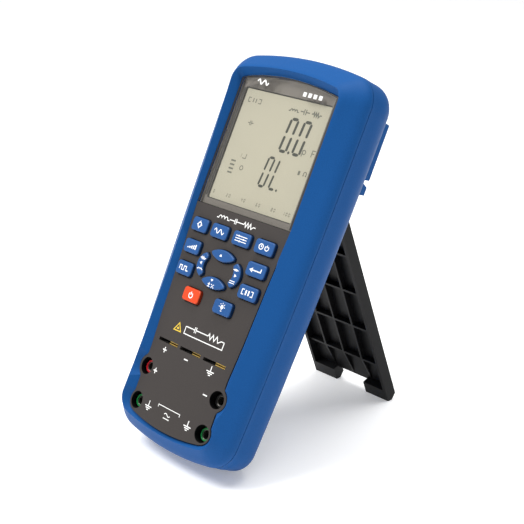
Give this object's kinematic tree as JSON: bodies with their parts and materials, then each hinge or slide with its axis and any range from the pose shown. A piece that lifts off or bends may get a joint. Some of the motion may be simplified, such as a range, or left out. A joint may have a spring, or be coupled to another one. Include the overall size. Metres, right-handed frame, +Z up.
{
  "type": "lcr meter",
  "caption": "Handheld LCR meter leaning back on its opened tilt stand, with keypad, display, component test slots and shrouded 4 mm jacks.",
  "frame": {"origin": "centre of the bounding box, on the surface that the meter and its opened stand rest on", "axes": "+Z up from the resting surface, +X to the right of a person who reads the display, -Y towards that person; the meter leans back by 28 degrees"},
  "size_m": [0.0874, 0.132, 0.1755],
  "materials": {
    "blue_housing": "satin, fine-grained moulding",
    "black_rubber": "matte",
    "panel_grey": "fine matte texture with printed marks",
    "clear_window": "clear, polished",
    "window_border": "printed film",
    "frame_grey": "satin",
    "lcd_face": "liquid crystal display",
    "light_guide": "translucent",
    "zebra_rubber": "matte",
    "silicone_mat": "matte",
    "key_red": "soft satin",
    "key_blue": "soft satin",
    "circuit_board": "solder mask",
    "black_plastic": "matte",
    "crystal_can": "satin",
    "capacitor_sleeve": "shrink sleeve",
    "brass_spring": "bright",
    "nickelled_brass": "polished",
    "jack_red": "gloss",
    "jack_black": "gloss",
    "jack_green": "gloss",
    "battery_jacket": "printed steel can",
    "screw_steel": "zinc plated",
    "stand_black": "semi-gloss moulding"
  },
  "bodies": {
    "meter": {"analog_chip": "black_plastic", "battery": "battery_jacket", "battery_contacts": "brass_spring", "battery_door": "blue_housing", "battery_door_screw": "screw_steel", "battery_snap": "black_plastic", "buzzer": "black_plastic", "capacitors": "capacitor_sleeve", "case_gasket": "black_rubber", "case_screws": "screw_steel", "crystal": "crystal_can", "display_lens": "clear_window", "front_panel": "panel_grey", "front_shell": "blue_housing", "jack_sleeve_guard_left": "jack_green", "jack_sleeve_guard_right": "jack_green", "jack_sleeve_minus": "jack_black", "jack_sleeve_plus": "jack_red", "jack_socket_guard_left": "nickelled_brass", "jack_socket_guard_right": "nickelled_brass", "jack_socket_minus": "nickelled_brass", "jack_socket_plus": "nickelled_brass", "keypad_mat": "silicone_mat", "lcd_backlight": "light_guide", "lcd_frame": "frame_grey", "lcd_glass": "lcd_face", "lens_border_film": "window_border", "main_pcb": "circuit_board", "pcb_screws": "screw_steel", "processor_chip": "black_plastic", "rear_shell": "blue_housing", "slot_block": "black_plastic", "slot_contacts_guard": "brass_spring", "slot_contacts_minus": "brass_spring", "slot_contacts_plus": "brass_spring", "zebra_strip": "zebra_rubber"},
    "stand": {"tilt_stand": "stand_black"},
    "key_auto_off": {"key_auto_off": "key_blue"},
    "key_backlight": {"key_backlight": "key_blue"},
    "key_calibrate": {"key_calibrate": "key_blue"},
    "key_down": {"key_down": "key_blue"},
    "key_enter": {"key_enter": "key_blue"},
    "key_frequency": {"key_frequency": "key_blue"},
    "key_function": {"key_function": "key_blue"},
    "key_hold": {"key_hold": "key_blue"},
    "key_left": {"key_left": "key_blue"},
    "key_power": {"key_power": "key_red"},
    "key_right": {"key_right": "key_blue"},
    "key_setup": {"key_setup": "key_blue"},
    "key_sorting": {"key_sorting": "key_blue"},
    "key_up": {"key_up": "key_blue"}
  },
  "joints": [
    {"name": "stand_hinge", "type": "hinge", "parent": "meter", "child": "stand", "pos_m": [0, 0.01966, 0.11614], "axis": [1, 0, 0], "range_deg": [-48.6, 0]},
    {"name": "press_auto_off", "type": "slide", "parent": "meter", "child": "key_auto_off", "axis": [0, 0.8829, -0.4695], "range_m": [0, 0.0008], "stiffness_N_per_m": 400},
    {"name": "press_backlight", "type": "slide", "parent": "meter", "child": "key_backlight", "axis": [0, 0.8829, -0.4695], "range_m": [0, 0.0008], "stiffness_N_per_m": 400},
    {"name": "press_calibrate", "type": "slide", "parent": "meter", "child": "key_calibrate", "axis": [0, 0.8829, -0.4695], "range_m": [0, 0.0008], "stiffness_N_per_m": 400},
    {"name": "press_down", "type": "slide", "parent": "meter", "child": "key_down", "axis": [0, 0.8829, -0.4695], "range_m": [0, 0.0008], "stiffness_N_per_m": 400},
    {"name": "press_enter", "type": "slide", "parent": "meter", "child": "key_enter", "axis": [0, 0.8829, -0.4695], "range_m": [0, 0.0008], "stiffness_N_per_m": 400},
    {"name": "press_frequency", "type": "slide", "parent": "meter", "child": "key_frequency", "axis": [0, 0.8829, -0.4695], "range_m": [0, 0.0008], "stiffness_N_per_m": 400},
    {"name": "press_function", "type": "slide", "parent": "meter", "child": "key_function", "axis": [0, 0.8829, -0.4695], "range_m": [0, 0.0008], "stiffness_N_per_m": 400},
    {"name": "press_hold", "type": "slide", "parent": "meter", "child": "key_hold", "axis": [0, 0.8829, -0.4695], "range_m": [0, 0.0008], "stiffness_N_per_m": 400},
    {"name": "press_left", "type": "slide", "parent": "meter", "child": "key_left", "axis": [0, 0.8829, -0.4695], "range_m": [0, 0.0008], "stiffness_N_per_m": 400},
    {"name": "press_power", "type": "slide", "parent": "meter", "child": "key_power", "axis": [0, 0.8829, -0.4695], "range_m": [0, 0.0008], "stiffness_N_per_m": 400},
    {"name": "press_right", "type": "slide", "parent": "meter", "child": "key_right", "axis": [0, 0.8829, -0.4695], "range_m": [0, 0.0008], "stiffness_N_per_m": 400},
    {"name": "press_setup", "type": "slide", "parent": "meter", "child": "key_setup", "axis": [0, 0.8829, -0.4695], "range_m": [0, 0.0008], "stiffness_N_per_m": 400},
    {"name": "press_sorting", "type": "slide", "parent": "meter", "child": "key_sorting", "axis": [0, 0.8829, -0.4695], "range_m": [0, 0.0008], "stiffness_N_per_m": 400},
    {"name": "press_up", "type": "slide", "parent": "meter", "child": "key_up", "axis": [0, 0.8829, -0.4695], "range_m": [0, 0.0008], "stiffness_N_per_m": 400}
  ]
}
